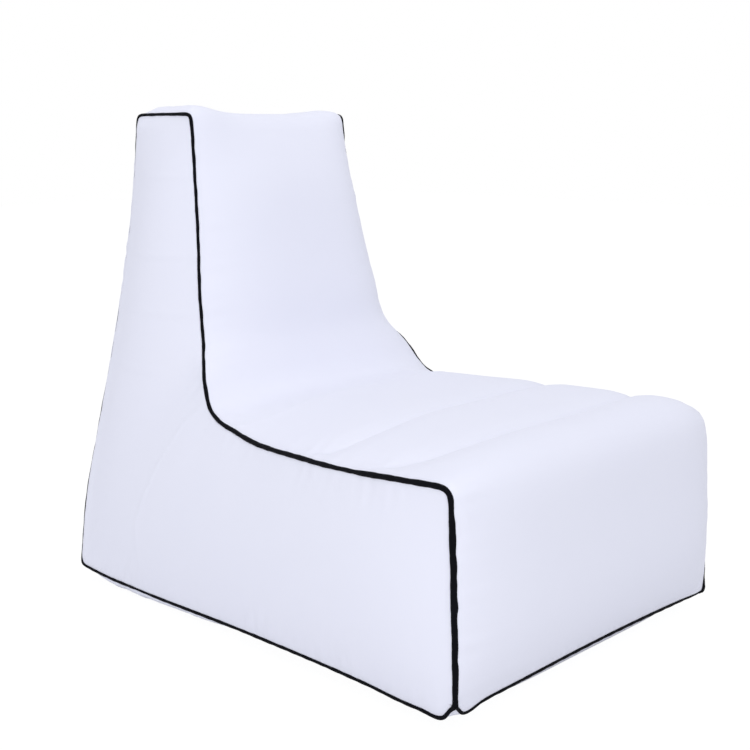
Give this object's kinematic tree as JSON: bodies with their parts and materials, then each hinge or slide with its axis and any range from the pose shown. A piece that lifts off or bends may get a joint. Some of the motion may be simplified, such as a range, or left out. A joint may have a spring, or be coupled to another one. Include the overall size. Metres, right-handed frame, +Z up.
{
  "type": "inflatable sofa",
  "caption": "Inflatable lounge sofa: welded seat and back air chambers inside a zipped white cloth cover with black piping, and a screw air valve in the rear.",
  "frame": {"origin": "on the floor, below the middle of the whole sofa's box", "axes": "+Z up, +Y from the front to the rear, +X to the sitter's left"},
  "size_m": [0.7972, 1.0934, 0.9698],
  "materials": {
    "cover_cloth": "plain woven polyester, matte",
    "piping": "black folded tape, slight sheen",
    "film": "soft satin film",
    "valve_plastic": "moulded, satin",
    "seal_rubber": "matte",
    "zip_tape": "woven tape with nylon coils",
    "zip_metal": "die-cast, satin"
  },
  "bodies": {
    "sofa": {"cover_centre": "cover_cloth", "cover_rear": "cover_cloth", "cover_bottom": "cover_cloth", "cover_side_right": "cover_cloth", "cover_side_left": "cover_cloth", "piping_right": "piping", "piping_left": "piping", "piping_front_edge": "piping", "piping_rear_edge": "piping", "seat_chamber": "film", "back_chamber": "film", "seat_web_front": "film", "seat_web_rear": "film", "back_web": "film", "chamber_port": "valve_plastic", "zip_tape_left": "zip_tape", "zip_tape_right": "zip_tape", "zip_coil_left": "zip_tape", "zip_coil_right": "zip_tape", "zip_top_stop_left": "zip_tape", "zip_top_stop_right": "zip_tape", "zip_bottom_stop": "zip_tape", "valve_base": "valve_plastic", "valve_eyelet": "valve_plastic"},
    "slider": {"zip_slider": "zip_metal"},
    "pull": {"zip_pull": "zip_metal"},
    "insert_ring": {"insert_seal": "seal_rubber"},
    "insert": {"valve_insert": "valve_plastic", "valve_flap": "seal_rubber"},
    "cap_ring": {"cap_seal": "seal_rubber"},
    "cap": {"valve_cap": "valve_plastic"}
  },
  "joints": [
    {"name": "slider_slide", "type": "slide", "parent": "sofa", "child": "slider", "axis": [0, 0.0258, -0.9997], "range_m": [0, 0.571]},
    {"name": "pull_swing", "type": "hinge", "parent": "slider", "child": "pull", "pos_m": [0, 0.52044, 0.78077], "axis": [1, 0, 0], "range_deg": [0, 100]},
    {"name": "insert_lift", "type": "slide", "parent": "sofa", "child": "insert_ring", "axis": [0.0216, 0.9993, 0.0294], "range_m": [0, 0.0046]},
    {"name": "insert_turn", "type": "hinge", "parent": "insert_ring", "child": "insert", "pos_m": [0.20849, 0.53092, 0.19667], "axis": [0.0216, 0.9993, 0.0294], "range_deg": [0, 540]},
    {"name": "cap_lift", "type": "slide", "parent": "insert", "child": "cap_ring", "axis": [0.0216, 0.9993, 0.0294], "range_m": [0, 0.0046]},
    {"name": "cap_turn", "type": "hinge", "parent": "cap_ring", "child": "cap", "pos_m": [0.20849, 0.53092, 0.19667], "axis": [0.0216, 0.9993, 0.0294], "range_deg": [0, 540]}
  ],
  "couplings": [
    {"joint": "insert_lift", "follows": "insert_turn", "m_per_rad": 0.00047746},
    {"joint": "cap_lift", "follows": "cap_turn", "m_per_rad": 0.00047746}
  ]
}
